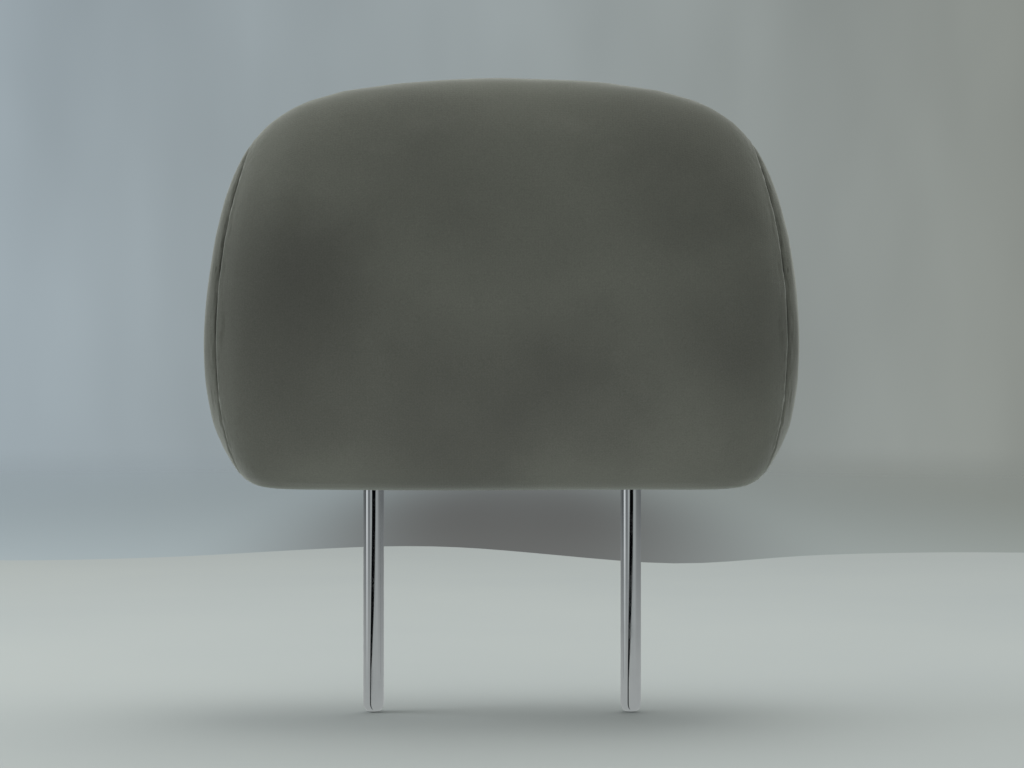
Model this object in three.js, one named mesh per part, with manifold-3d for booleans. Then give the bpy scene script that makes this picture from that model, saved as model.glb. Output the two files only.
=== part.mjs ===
// A car headrest: a foam pad in a sewn cloth cover, moulded round a plastic armature that grips
// a bent steel stay. The two legs of the stay come out of the underside as chromed posts.
// Millimetres. +X is to the viewer's right, the front faces -Y, +Z runs up along the posts.
// The origin lies midway between the two post axes, level with the tips of the posts.
import * as THREE from "three";
import { LoftGeometry } from "three/addons/geometries/LoftGeometry.js";
import { mergeVertices } from "three/addons/utils/BufferGeometryUtils.js";
import Module from "manifold-3d";

// Clearances
const fitGap = 0.3; // between parts that touch on the real object
const slideGap = 0.4; // round the posts and between the closure hooks

// Stay
const postDiameter = 10;
const postPitch = 126; // between the post axes
const postReach = 109; // from the tips to the underside of the pad
const stayRise = 108; // from the underside to the axis of the crossbar
const stayBendRadius = 24; // of the centre line
const tipFlatDiameter = 4;
const tipRoundHeight = 4.6;

// Height notches in the rear of the right post
const notchCount = 3;
const notchPitch = 29;
const firstNotchHeight = 26; // from the tips to the foot of the lowest ramp
const notchDepth = 1.5;
const notchRamp = 5;
const notchSeat = 3.5;

// Pad, over the cover
const padHeight = 198.2;
const padFrontReach = 66; // ahead of the post axes
const padRearReach = 50; // behind the post axes
const padFrontLean = 12; // how far the front face falls back at the top
const padRearLean = 24; // how far the rear face comes forward at the top
const topRoundness = 2.7; // exponent of the profile above its middle
const underRoundness = 4.2; // exponent of the profile below its middle

// Side seams, where the main panel meets the side panels
const seamHalfWidth = 136.8; // at its widest
const seamWidestHeight = 74; // above the underside
const seamUpperRadius = 290; // curve of the seam above its widest place, seen from the front
const seamLowerRadius = 200;
const seamRise = 9.5; // from the underside to the lowest point of the seam
const seamDrop = 35.4; // from the top of the pad to the highest point of the seam
const seamFrontSetback = 24; // behind the foremost line of the pad
const seamRearSetback = 20;
const seamRoundness = 2.6;
const seamMitre = 0.6; // how far the seam moves in for each millimetre of depth
const sideCrown = 6; // how far a side panel swells past its seam, at the underside
const sideCrownTaper = 0.7; // share of the swelling lost at the top, where the panel narrows
const sideCrownPower = 4; // of the swelling across the panel; higher is flatter in the middle
const endCrownPower = 7.5; // of the swelling towards the upper and lower ends of the panel

// How the main panel falls from its middle to a side seam, as shares of the whole fall
const topCrownShare = 0.42;
const topShoulderPower = 7.5;
const underCrownShare = 0.02;
const underShoulderPower = 22;

// Cover
const coverThickness = 3; // cloth with its foam backing
const rollDepth = 1.1; // how deep the folded edges dip into the seam
const rollWidth = 2.4;

// Closure under the pad, behind the posts
const closureGap = 2.5; // from the grommets to the front strip
const closureOverhang = 14; // past each end of the armature
const slitWidth = 2;
const stripFlange = 9;
const stripThickness = 1.2;
const hookHeight = 6;
const stripSeatGap = 0.5; // between the strips and the cover under them

// Armature
const armatureSideRoom = 16; // from the posts to the outside of the side walls
const armatureFloorGap = 3; // above the grommets and the closure
const armatureTopRoom = 19; // above the crossbar
const armatureDepthRoom = 15; // from the posts to the front and rear faces
const armatureCorner = 24;
const armatureEdgeRound = 6;
const armatureWall = 2.4;
const ribThickness = 2.2;
const ribCount = 3; // across the posts
const lipHeight = 3; // of the rim that locates the halves
const lipThickness = 1.4;

// Screws that close the armature
const screwDiameter = 4;
const screwLength = 24; // under the head
const screwPointLength = 4;
const screwHeadDiameter = 8;
const screwHeadHeight = 2.6;
const screwPostDistance = 20; // from the side of a post
const screwEdgeDistance = 12; // from the floor and from the crossbar
const driveWidth = 1;
const driveSpan = 4.4;
const driveDepth = 1.5;
const bossWall = 2.2;

// Grommets in the underside
const grommetWall = 1.6;
const grommetFlangeWidth = 4;
const grommetFlangeThickness = 1.2;
const grommetSleeve = 11; // above the flange
const grommetBarb = 0.7;

// Facets
const loopPoints = 40;
const halfSections = 7; // of the main panel, from its middle to a seam
const sideSpreads = [0.1, 0.45, 0.75, 0.93]; // rings of a side panel, from its middle outwards
const rodSides = 20;
const bendSteps = 7;
const screwSides = 12; // of the screws, their bosses and their holes

const quarterTurn = Math.PI / 2;
const postRadius = postDiameter / 2;
const halfPitch = postPitch / 2;
const underside = postReach;
const crossbarHeight = underside + stayRise;
const padTop = underside + padHeight;
const foamInset = coverThickness + fitGap;
const seamHalfGap = fitGap / 2;
const overcut = 1; // how far a cutting shape runs past the face that it opens

const wasm = await Module();
wasm.setup();

// Turns a closed geometry into a solid that can be joined and cut.
function solidOf(geometry) {
  const bare = new THREE.BufferGeometry();
  bare.setAttribute("position", geometry.getAttribute("position"));
  bare.setIndex(geometry.index);
  const merged = mergeVertices(bare, 1e-4);
  const mesh = new wasm.Mesh({
    numProp: 3,
    vertProperties: new Float32Array(merged.getAttribute("position").array),
    triVerts: new Uint32Array(merged.index.array),
  });
  return new wasm.Manifold(mesh);
}

// Turns a solid back into a geometry.
function geometryOf(solid) {
  const mesh = solid.getMesh();
  const geometry = new THREE.BufferGeometry();
  geometry.setAttribute("position", new THREE.BufferAttribute(mesh.vertProperties, 3));
  geometry.setIndex(new THREE.BufferAttribute(mesh.triVerts, 1));
  geometry.computeVertexNormals();
  return geometry;
}

function boxSolid(low, high) {
  const box = new THREE.BoxGeometry(high.x - low.x, high.y - low.y, high.z - low.z);
  box.translate((high.x + low.x) / 2, (high.y + low.y) / 2, (high.z + low.z) / 2);
  return solidOf(box);
}

// An upright round bar.
function uprightRod(x, y, low, high, radius) {
  const rod = new THREE.CylinderGeometry(radius, radius, high - low, rodSides);
  rod.rotateX(quarterTurn);
  rod.translate(x, y, (low + high) / 2);
  return solidOf(rod);
}

// A round bar that runs from front to rear.
function levelRod(x, z, front, rear, radius) {
  const rod = new THREE.CylinderGeometry(radius, radius, rear - front, screwSides);
  rod.translate(x, (front + rear) / 2, z);
  return solidOf(rod);
}

// A closed loft through rings of points.
function loft(rings) {
  return new LoftGeometry(rings, { closed: true, capStart: true, capEnd: true });
}

function power(value, exponent) {
  return Math.sign(value) * Math.abs(value) ** exponent;
}

// Pad form. A profile is a closed loop in the YZ plane, given by its four reaches, round like a
// superellipse. It runs from the rear over the top and the front to the underside.
function profilePoint(angle, reach, roundnessAbove, roundnessBelow) {
  const roundness = Math.sin(angle) > 0 ? roundnessAbove : roundnessBelow;
  const across = power(Math.cos(angle), 2 / roundness);
  const upward = power(Math.sin(angle), 2 / roundness);
  const z = (reach.high + reach.low) / 2 + ((reach.high - reach.low) / 2) * upward;
  const share = (z - underside) / padHeight;
  const front = reach.front + padFrontLean * share ** 2;
  const rear = reach.rear - padRearLean * share ** 2;
  const y = (rear + front) / 2 + ((rear - front) / 2) * across;
  return { y, z };
}

// The profile in the middle of the pad, at a depth under its face.
function centrePoint(angle, inset) {
  const reach = {
    front: -padFrontReach + inset,
    rear: padRearReach - inset,
    low: underside + inset,
    high: padTop - inset,
  };
  return profilePoint(angle, reach, topRoundness, underRoundness);
}

// The seam loop seen from the side, moved in by so many millimetres.
function seamPoint(angle, inset) {
  const reach = {
    front: -padFrontReach + seamFrontSetback + inset,
    rear: padRearReach - seamRearSetback - inset,
    low: underside + seamRise + inset,
    high: padTop - seamDrop - inset,
  };
  return profilePoint(angle, reach, seamRoundness, seamRoundness);
}

// The half width of the pad at its seams, as a curve over the height.
function seamReach(z) {
  const rise = z - underside - seamWidestHeight;
  const radius = rise > 0 ? seamUpperRadius : seamLowerRadius;
  return seamHalfWidth - rise ** 2 / (2 * radius);
}

// How much of its fall towards a seam the main panel has made at a share of the half width.
function fallShare(across, angle) {
  const below = (1 - Math.sin(angle)) / 2;
  const crown = THREE.MathUtils.lerp(topCrownShare, underCrownShare, below);
  const shoulder = THREE.MathUtils.lerp(topShoulderPower, underShoulderPower, below ** 2);
  return crown * across ** 2 + (1 - crown) * across ** shoulder;
}

function loopAngles() {
  return Array.from({ length: loopPoints }, (_, i) => (i / loopPoints) * 2 * Math.PI);
}

// A ring of the main panel. across runs from -1 at the left seam to 1 at the right seam, inset
// is the depth under the outer face, and widening moves the seam end of the ring outwards.
function padRing(across, inset, widening = 0) {
  return loopAngles().map((angle) => {
    const centre = centrePoint(angle, inset);
    const seam = seamPoint(angle, inset * seamMitre - widening);
    const fall = fallShare(Math.abs(across), angle);
    const y = THREE.MathUtils.lerp(centre.y, seam.y, fall);
    const z = THREE.MathUtils.lerp(centre.z, seam.z, fall);
    return new THREE.Vector3(across * (seamReach(seam.z) - inset), y, z);
  });
}

// A ring of a side panel. spread is 1 at the seam and 0 in the middle of the panel.
function sideRing(side, spread, inset, narrowing = 0) {
  const middleY = (padRearReach - seamRearSetback - padFrontReach + seamFrontSetback) / 2;
  const middleZ = (underside + seamRise + padTop - seamDrop) / 2;
  return loopAngles().map((angle) => {
    const seam = seamPoint(angle, inset * seamMitre + narrowing);
    const y = THREE.MathUtils.lerp(middleY, seam.y, spread);
    const z = THREE.MathUtils.lerp(middleZ, seam.z, spread);
    const exponent = THREE.MathUtils.lerp(sideCrownPower, endCrownPower, Math.sin(angle) ** 2);
    const share = (z - underside) / padHeight;
    const crown = sideCrown * (1 - sideCrownTaper * share ** 2) * (1 - spread ** exponent);
    return new THREE.Vector3(side * (seamReach(z) + crown - inset), y, z);
  });
}

// Shares of the half width where the main panel has its rings, closer together near the seams.
function sectionShares() {
  const rollStart = 1 - rollWidth / seamHalfWidth;
  return Array.from({ length: 2 * halfSections + 1 }, (_, i) => {
    return rollStart * Math.sin((i / halfSections - 1) * quarterTurn);
  });
}

// Height of the pad's underside behind the post axes, at a depth under its face.
function undersideAt(y, inset) {
  const middle = (padRearReach - padFrontReach) / 2;
  const half = (padRearReach + padFrontReach) / 2 - inset;
  const swell = (1 - Math.abs((y - middle) / half) ** underRoundness) ** (1 / underRoundness);
  return underside + padHeight / 2 - (padHeight / 2 - inset) * swell;
}

// Stay: one bar, bent to an upturned U with rounded tips. turn is the direction of its axis,
// from 0 upwards over a quarter turn to the right.
function stayRing(x, z, turn, radius) {
  return Array.from({ length: rodSides }, (_, i) => {
    const angle = (i / rodSides) * 2 * Math.PI;
    const outward = radius * Math.cos(angle);
    const ringX = x + outward * Math.cos(turn);
    const ringZ = z - outward * Math.sin(turn);
    return new THREE.Vector3(ringX, radius * Math.sin(angle), ringZ);
  });
}

function bendRings(side, radius) {
  return Array.from({ length: bendSteps + 1 }, (_, i) => {
    const swing = (i / bendSteps) * quarterTurn;
    const x = side * (halfPitch - stayBendRadius + stayBendRadius * Math.cos(swing));
    const z = crossbarHeight - stayBendRadius + stayBendRadius * Math.sin(swing);
    return stayRing(x, z, side < 0 ? swing : Math.PI - swing, radius);
  });
}

function tipRings(side) {
  const flatRadius = tipFlatDiameter / 2;
  const steps = 4;
  return Array.from({ length: steps + 1 }, (_, i) => {
    const swing = (i / steps) * quarterTurn;
    const radius = flatRadius + (postRadius - flatRadius) * Math.sin(swing);
    const z = tipRoundHeight * (1 - Math.cos(swing));
    return stayRing(side * halfPitch, z, side < 0 ? 0 : Math.PI, radius);
  });
}

// One height notch: a ramp that deepens upwards and ends in a square seat.
function notchSolid(index) {
  const foot = firstNotchHeight + index * notchPitch;
  const top = foot + notchRamp + notchSeat;
  const outline = new THREE.Shape([
    new THREE.Vector2(-postRadius - overcut, foot),
    new THREE.Vector2(-postRadius, foot),
    new THREE.Vector2(notchDepth - postRadius, foot + notchRamp),
    new THREE.Vector2(notchDepth - postRadius, top),
    new THREE.Vector2(-postRadius - overcut, top),
  ]);
  const cut = new THREE.ExtrudeGeometry(outline, { depth: postDiameter, bevelEnabled: false });
  cut.rotateX(quarterTurn);
  cut.translate(0, postRadius, 0);
  cut.rotateZ(-quarterTurn);
  cut.translate(halfPitch, 0, 0);
  return solidOf(cut);
}

function staySolid() {
  const left = [...tipRings(-1), ...bendRings(-1, postRadius)];
  const right = [...tipRings(1), ...bendRings(1, postRadius)];
  let stay = solidOf(loft([...left, ...right.reverse()]));
  for (let index = 0; index < notchCount; index += 1) {
    stay = stay.subtract(notchSolid(index));
  }
  return stay;
}

// The room that the stay takes in what surrounds it.
function stayRoom(clearance) {
  const radius = postRadius + clearance;
  const left = [stayRing(-halfPitch, 0, 0, radius), ...bendRings(-1, radius)];
  const right = [stayRing(halfPitch, 0, Math.PI, radius), ...bendRings(1, radius)];
  return solidOf(loft([...left, ...right.reverse()]));
}

// Armature: two moulded trays that close on each other round the stay.
const armatureHalfWidth = halfPitch + postRadius + armatureSideRoom;
const armatureHalfDepth = postRadius + armatureDepthRoom;
const armatureLow = underside + Math.max(grommetSleeve, foamInset + hookHeight) + armatureFloorGap;
const armatureHigh = crossbarHeight + postRadius + armatureTopRoom;

function armatureRing(y, inset) {
  const halfWidth = armatureHalfWidth - inset;
  const halfHeight = (armatureHigh - armatureLow) / 2 - inset;
  const corner = armatureCorner - inset;
  const x = halfWidth - corner;
  const z = halfHeight - corner;
  const outline = new THREE.Path();
  outline.absarc(x, -z, corner, -quarterTurn, 0);
  outline.absarc(x, z, corner, 0, quarterTurn);
  outline.absarc(-x, z, corner, quarterTurn, Math.PI);
  outline.absarc(-x, -z, corner, Math.PI, 3 * quarterTurn);
  const middleZ = (armatureHigh + armatureLow) / 2;
  return outline.getPoints(3).map((p) => new THREE.Vector3(p.x, y, middleZ + p.y));
}

// A block with the outline of the armature and a rounded outer edge, from a start plane to the
// outer face of one half. side is -1 for the front half and 1 for the rear half.
function trayBlock(side, start, inset) {
  const round = armatureEdgeRound - inset;
  const depth = armatureHalfDepth - inset;
  const steps = 2;
  const rings = [armatureRing(side * start, inset)];
  for (let step = 0; step <= steps; step += 1) {
    const swing = (step / steps) * quarterTurn;
    const y = depth - round + round * Math.sin(swing);
    rings.push(armatureRing(side * y, inset + round * (1 - Math.cos(swing))));
  }
  return solidOf(loft(side < 0 ? rings : rings.reverse()));
}

// The band between two outlines of the armature, from one depth to another.
function armatureBand(front, rear, outerInset, innerInset) {
  const outer = loft([armatureRing(rear, outerInset), armatureRing(front, outerInset)]);
  const inner = [armatureRing(rear + overcut, innerInset), armatureRing(front - overcut, innerInset)];
  return solidOf(outer).subtract(solidOf(loft(inner)));
}

// Screws stand in a rectangle between the posts, clear of the floor and of the crossbar.
const screwX = halfPitch - postRadius - screwPostDistance;
const screwLow = armatureLow + armatureWall + screwEdgeDistance;
const screwHigh = crossbarHeight - postRadius - screwEdgeDistance;
const screwSeatY = armatureHalfDepth - fitGap - screwHeadHeight;
const screwHoleRadius = screwDiameter / 2 + fitGap;
const screwHeadRoomRadius = screwHeadDiameter / 2 + fitGap;
const screwPlaces = [
  { x: -screwX, z: screwLow },
  { x: screwX, z: screwLow },
  { x: -screwX, z: screwHigh },
  { x: screwX, z: screwHigh },
];

// Ribs across the posts, and upright ribs that carry the crossbar and brace the screw bosses.
function trayRibs(front, rear) {
  const ribs = [];
  for (let index = 1; index <= ribCount; index += 1) {
    const z = THREE.MathUtils.lerp(screwLow, screwHigh, index / (ribCount + 1));
    const low = new THREE.Vector3(-armatureHalfWidth, front, z - ribThickness / 2);
    const high = new THREE.Vector3(armatureHalfWidth, rear, z + ribThickness / 2);
    ribs.push(boxSolid(low, high));
  }
  for (const x of [-screwX, 0, screwX]) {
    const low = new THREE.Vector3(x - ribThickness / 2, front, armatureLow);
    const high = new THREE.Vector3(x + ribThickness / 2, rear, armatureHigh);
    ribs.push(boxSolid(low, high));
  }
  return ribs;
}

// One half before the stay and the screws are cut out of it.
function trayWithRibs(side, bossRadius) {
  const block = trayBlock(side, seamHalfGap, 0);
  const reach = [side * seamHalfGap, side * armatureHalfDepth];
  const front = Math.min(...reach);
  const rear = Math.max(...reach);
  let tray = block.subtract(trayBlock(side, -overcut, armatureWall));
  for (const rib of trayRibs(front, rear)) {
    tray = tray.add(rib.intersect(block));
  }
  for (const place of screwPlaces) {
    tray = tray.add(levelRod(place.x, place.z, front, rear, bossRadius).intersect(block));
  }
  return tray;
}

function armatureFrontSolid() {
  const lipInset = armatureWall + fitGap;
  const root = armatureBand(-lipHeight, -seamHalfGap, armatureWall / 2, lipInset + lipThickness);
  const lip = armatureBand(-lipHeight, lipHeight, lipInset, lipInset + lipThickness);
  let half = trayWithRibs(-1, screwHoleRadius + bossWall).add(root).add(lip);
  for (const place of screwPlaces) {
    const end = screwSeatY - screwLength - fitGap;
    half = half.subtract(levelRod(place.x, place.z, end, lipHeight + overcut, screwHoleRadius));
  }
  return half.subtract(stayRoom(fitGap));
}

function armatureRearSolid() {
  const lipRoomInset = armatureWall + 2 * fitGap + lipThickness;
  const lipRoom = armatureBand(-overcut, lipHeight + fitGap, armatureWall, lipRoomInset);
  const outside = armatureHalfDepth + overcut;
  let half = trayWithRibs(1, screwHeadRoomRadius + bossWall).subtract(lipRoom);
  for (const place of screwPlaces) {
    const seat = screwSeatY - fitGap;
    half = half.subtract(levelRod(place.x, place.z, -overcut, seat + overcut, screwHoleRadius));
    half = half.subtract(levelRod(place.x, place.z, seat, outside, screwHeadRoomRadius));
  }
  return half.subtract(stayRoom(fitGap));
}

// The room that the closed armature takes in the foam.
function armatureRoom() {
  return trayBlock(-1, -overcut, -fitGap).add(trayBlock(1, -overcut, -fitGap));
}

// A screw along Y, with its seat under the head at zero, its point ahead and its head behind.
function screwSolid() {
  const shank = screwDiameter / 2;
  const head = screwHeadDiameter / 2;
  const profile = [
    new THREE.Vector2(0, -screwLength),
    new THREE.Vector2(shank / 2, -screwLength + screwPointLength / 4),
    new THREE.Vector2(shank, -screwLength + screwPointLength),
    new THREE.Vector2(shank, 0),
    new THREE.Vector2(head, 0),
    new THREE.Vector2(head, screwHeadHeight / 2),
    new THREE.Vector2(head * 0.8, screwHeadHeight),
    new THREE.Vector2(0, screwHeadHeight),
  ];
  const long = new THREE.BoxGeometry(driveSpan, 2 * driveDepth, driveWidth);
  const wide = new THREE.BoxGeometry(driveWidth, 2 * driveDepth, driveSpan);
  long.translate(0, screwHeadHeight, 0);
  wide.translate(0, screwHeadHeight, 0);
  const body = solidOf(new THREE.LatheGeometry(profile, screwSides));
  return body.subtract(solidOf(long)).subtract(solidOf(wide));
}

// Grommets: barbed sleeves that line the post holes in the cover.
const grommetBore = postRadius + slideGap;
const grommetSleeveRadius = grommetBore + grommetWall;
const grommetBarbRadius = grommetSleeveRadius + grommetBarb;
const grommetFlangeTop = underside - fitGap;

function grommetGeometry() {
  const flange = grommetSleeveRadius + grommetFlangeWidth;
  const low = -grommetFlangeThickness;
  const profile = [
    new THREE.Vector2(grommetBore, low),
    new THREE.Vector2(flange - grommetFlangeThickness / 2, low),
    new THREE.Vector2(flange, low / 2),
    new THREE.Vector2(flange, 0),
    new THREE.Vector2(grommetSleeveRadius, 0),
    new THREE.Vector2(grommetSleeveRadius, grommetSleeve * 0.6),
    new THREE.Vector2(grommetBarbRadius, grommetSleeve * 0.65),
    new THREE.Vector2(grommetSleeveRadius, grommetSleeve),
    new THREE.Vector2(grommetBore, grommetSleeve),
    new THREE.Vector2(grommetBore, low),
  ];
  const grommet = new THREE.LatheGeometry(profile, rodSides);
  grommet.rotateX(quarterTurn);
  return grommet;
}

// Closure: two strips that hook into each other above the slit in the cover. Their section lies
// in the YZ plane, with zero in the middle of the slit, and leans with the underside.
const hookRoom = stripThickness + 2 * slideGap;
const frontStripEnd = stripFlange + stripThickness + slideGap / 2;
const rearStripEnd = hookRoom + stripFlange;
const closureSetback = grommetBarbRadius + closureGap + frontStripEnd;
const closureHalfLength = armatureHalfWidth + closureOverhang;
const closureFrontZ = undersideAt(closureSetback - frontStripEnd, coverThickness);
const closureRearZ = undersideAt(closureSetback + rearStripEnd, coverThickness);
const closureLean = Math.atan2(closureRearZ - closureFrontZ, frontStripEnd + rearStripEnd);
const closureZ = closureFrontZ + stripSeatGap + frontStripEnd * Math.tan(closureLean);

function alongX(section, halfLength) {
  const shape = new THREE.Shape(section.map(([y, z]) => new THREE.Vector2(y, z)));
  const strip = new THREE.ExtrudeGeometry(shape, { depth: 2 * halfLength, bevelEnabled: false });
  strip.translate(0, 0, -halfLength);
  const sectionY = new THREE.Vector3(0, 1, 0);
  const sectionZ = new THREE.Vector3(0, 0, 1);
  const lengthwise = new THREE.Vector3(1, 0, 0);
  return strip.applyMatrix4(new THREE.Matrix4().makeBasis(sectionY, sectionZ, lengthwise));
}

function frontStripGeometry() {
  const wall = -stripThickness - slideGap / 2;
  const inside = -slideGap / 2;
  const leg = inside + hookRoom;
  const tip = stripThickness + slideGap;
  const section = [
    [wall - stripFlange, 0],
    [inside, 0],
    [inside, hookHeight - stripThickness],
    [leg, hookHeight - stripThickness],
    [leg, tip],
    [leg + stripThickness, tip],
    [leg + stripThickness, hookHeight],
    [wall, hookHeight],
    [wall, stripThickness],
    [wall - stripFlange, stripThickness],
  ];
  return alongX(section, closureHalfLength);
}

function rearStripGeometry() {
  const start = slideGap / 2;
  const lipTop = hookHeight - stripThickness - slideGap;
  const section = [
    [start, 0],
    [rearStripEnd, 0],
    [rearStripEnd, stripThickness],
    [start + stripThickness, stripThickness],
    [start + stripThickness, lipTop],
    [start, lipTop],
  ];
  return alongX(section, closureHalfLength);
}

// A block over part of the closure, leaned and placed as the strips are.
function closureBlock(front, rear, low, high, halfLength) {
  const section = [
    [front, low],
    [rear, low],
    [rear, high],
    [front, high],
  ];
  const block = alongX(section, halfLength);
  block.rotateX(closureLean);
  block.translate(0, closureSetback, closureZ);
  return solidOf(block);
}

// The room that both strips take, from a depth under them: low over the flanges, and higher
// over the hooks.
function closureRoom(depth) {
  const flangeTop = stripThickness + fitGap;
  const hookTop = hookHeight + fitGap;
  const hookFront = -slideGap / 2 - stripThickness - fitGap;
  const hookRear = hookRoom + stripThickness - slideGap / 2 + fitGap;
  const halfLength = closureHalfLength + fitGap;
  const front = -frontStripEnd - fitGap;
  const rear = rearStripEnd + fitGap;
  const flanges = closureBlock(front, rear, -depth, flangeTop, halfLength);
  return flanges.add(closureBlock(hookFront, hookRear, -depth, hookTop, halfLength));
}

// Foam: one moulding with room for the armature, the grommets, the posts and the closure.
function foamSolid() {
  const left = sideSpreads.map((spread) => sideRing(-1, spread, foamInset));
  const right = sideSpreads.map((spread) => sideRing(1, spread, foamInset));
  const middle = [-1, ...sectionShares(), 1].map((share) => padRing(share, foamInset));
  let foam = solidOf(loft([...left, ...middle, ...right.reverse()]));
  foam = foam.subtract(armatureRoom());
  for (const x of [-halfPitch, halfPitch]) {
    const sleeveTop = grommetFlangeTop + grommetSleeve + fitGap;
    const channelTop = armatureLow + armatureCorner;
    const low = underside - overcut;
    foam = foam.subtract(uprightRod(x, 0, low, sleeveTop, grommetBarbRadius + fitGap));
    foam = foam.subtract(uprightRod(x, 0, low, channelTop, postRadius + slideGap));
  }
  return foam.subtract(closureRoom(2 * coverThickness));
}

// Main panel: one cloth that wraps the front, the top, the back and the underside, with both
// side edges folded into the seams, two post holes and the slit of the closure.
function mainPanelSolid() {
  const outside = sectionShares().map((share) => padRing(share, 0));
  const inside = sectionShares().map((share) => padRing(share, coverThickness));
  const edge = (side, inset) => padRing(side, inset, seamHalfGap);
  const rings = [
    edge(-1, rollDepth),
    ...outside,
    edge(1, rollDepth),
    edge(1, coverThickness),
    ...inside.reverse(),
    edge(-1, coverThickness),
  ];
  rings.push(rings[0]);
  const wall = new LoftGeometry(rings, { closed: true, capStart: false, capEnd: false });
  let panel = solidOf(wall);
  for (const x of [-halfPitch, halfPitch]) {
    const top = underside + coverThickness + overcut;
    const hole = uprightRod(x, 0, underside - overcut, top, grommetSleeveRadius + fitGap);
    panel = panel.subtract(hole);
  }
  const depth = 2 * coverThickness;
  const slit = closureBlock(-slitWidth / 2, slitWidth / 2, -depth, depth, closureHalfLength);
  return panel.subtract(slit).subtract(closureRoom(fitGap));
}

// A dome whose skin is a side panel at a depth under its face. The rim rings come first, and a
// flat base closes it that much further in than its rim.
function sideDome(side, inset, rim, baseDepth) {
  const base = Math.min(...rim[0].map((point) => Math.abs(point.x))) - baseDepth;
  const flat = rim[0].map((point) => new THREE.Vector3(side * base, point.y, point.z));
  const skin = sideSpreads.map((spread) => sideRing(side, spread, inset)).reverse();
  const rings = [flat, ...rim, ...skin];
  return solidOf(loft(side < 0 ? rings.reverse() : rings));
}

// Side panel: a crowned cloth disc inside its seam. side is -1 for the left and 1 for the right.
function sidePanelSolid(side) {
  const inner = sideRing(side, 1, coverThickness, seamHalfGap);
  const outer = sideRing(side, 1, rollDepth, seamHalfGap);
  const beyond = sideRing(side, 1 + overcut / seamFrontSetback, coverThickness, seamHalfGap);
  const face = sideDome(side, 0, [inner, outer], overcut);
  return face.subtract(sideDome(side, coverThickness, [beyond, inner], 2 * overcut));
}

const cloth = new THREE.MeshStandardMaterial({ color: 0x5a5c55, roughness: 0.95, metalness: 0 });
const chrome = new THREE.MeshStandardMaterial({ color: 0xd4d6d8, roughness: 0.12, metalness: 1 });
const foamStuff = new THREE.MeshStandardMaterial({ color: 0xd9cda6, roughness: 1, metalness: 0 });
const nylon = new THREE.MeshStandardMaterial({ color: 0x2a2b2c, roughness: 0.6, metalness: 0 });
const zinc = new THREE.MeshStandardMaterial({ color: 0xa9a89f, roughness: 0.35, metalness: 1 });
const strip = new THREE.MeshStandardMaterial({ color: 0x1f2021, roughness: 0.5, metalness: 0 });

const headrest = new THREE.Group();

function addPiece(name, geometry, material) {
  const mesh = new THREE.Mesh(geometry, material);
  mesh.name = name;
  headrest.add(mesh);
  return mesh;
}

addPiece("stay", geometryOf(staySolid()), chrome);
addPiece("armature_front", geometryOf(armatureFrontSolid()), nylon);
addPiece("armature_rear", geometryOf(armatureRearSolid()), nylon);

screwPlaces.forEach((place, index) => {
  const screw = addPiece(`armature_screw_${index + 1}`, geometryOf(screwSolid()), zinc);
  screw.position.set(place.x, screwSeatY, place.z);
});

addPiece("foam_pad", geometryOf(foamSolid()), foamStuff);
addPiece("cover_main_panel", geometryOf(mainPanelSolid()), cloth);
addPiece("cover_side_panel_left", geometryOf(sidePanelSolid(-1)), cloth);
addPiece("cover_side_panel_right", geometryOf(sidePanelSolid(1)), cloth);

const closure = new THREE.Group();
closure.position.set(0, closureSetback, closureZ);
closure.rotation.x = closureLean;
headrest.add(closure);
closure.add(addPiece("closure_strip_front", frontStripGeometry(), strip));
closure.add(addPiece("closure_strip_rear", rearStripGeometry(), strip));

for (const [name, x] of [["post_grommet_left", -halfPitch], ["post_grommet_right", halfPitch]]) {
  const grommet = addPiece(name, grommetGeometry(), nylon);
  grommet.position.set(x, 0, grommetFlangeTop);
}

export default headrest;
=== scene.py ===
import math

import bpy
import bmesh
import numpy
from mathutils import Matrix, Vector, noise


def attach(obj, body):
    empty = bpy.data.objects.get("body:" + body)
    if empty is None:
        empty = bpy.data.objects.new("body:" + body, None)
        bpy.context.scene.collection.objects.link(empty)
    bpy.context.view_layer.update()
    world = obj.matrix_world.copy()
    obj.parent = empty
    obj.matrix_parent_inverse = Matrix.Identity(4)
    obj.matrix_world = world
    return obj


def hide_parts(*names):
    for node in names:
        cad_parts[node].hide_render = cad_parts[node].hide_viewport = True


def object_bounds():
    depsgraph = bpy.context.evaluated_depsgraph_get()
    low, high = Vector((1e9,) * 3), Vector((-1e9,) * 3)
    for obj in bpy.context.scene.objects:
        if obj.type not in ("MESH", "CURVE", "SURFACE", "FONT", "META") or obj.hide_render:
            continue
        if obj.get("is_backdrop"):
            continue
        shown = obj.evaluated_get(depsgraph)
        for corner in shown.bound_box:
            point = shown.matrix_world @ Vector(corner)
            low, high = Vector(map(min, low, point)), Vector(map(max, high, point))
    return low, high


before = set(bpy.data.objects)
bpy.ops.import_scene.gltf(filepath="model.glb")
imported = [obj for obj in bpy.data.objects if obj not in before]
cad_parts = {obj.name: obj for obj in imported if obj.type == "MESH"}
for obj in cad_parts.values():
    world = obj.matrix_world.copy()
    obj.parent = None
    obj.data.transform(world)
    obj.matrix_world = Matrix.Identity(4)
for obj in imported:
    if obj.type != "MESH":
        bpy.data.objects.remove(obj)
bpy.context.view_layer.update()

scene = bpy.context.scene
scene.view_settings.view_transform = "Standard"


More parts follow.
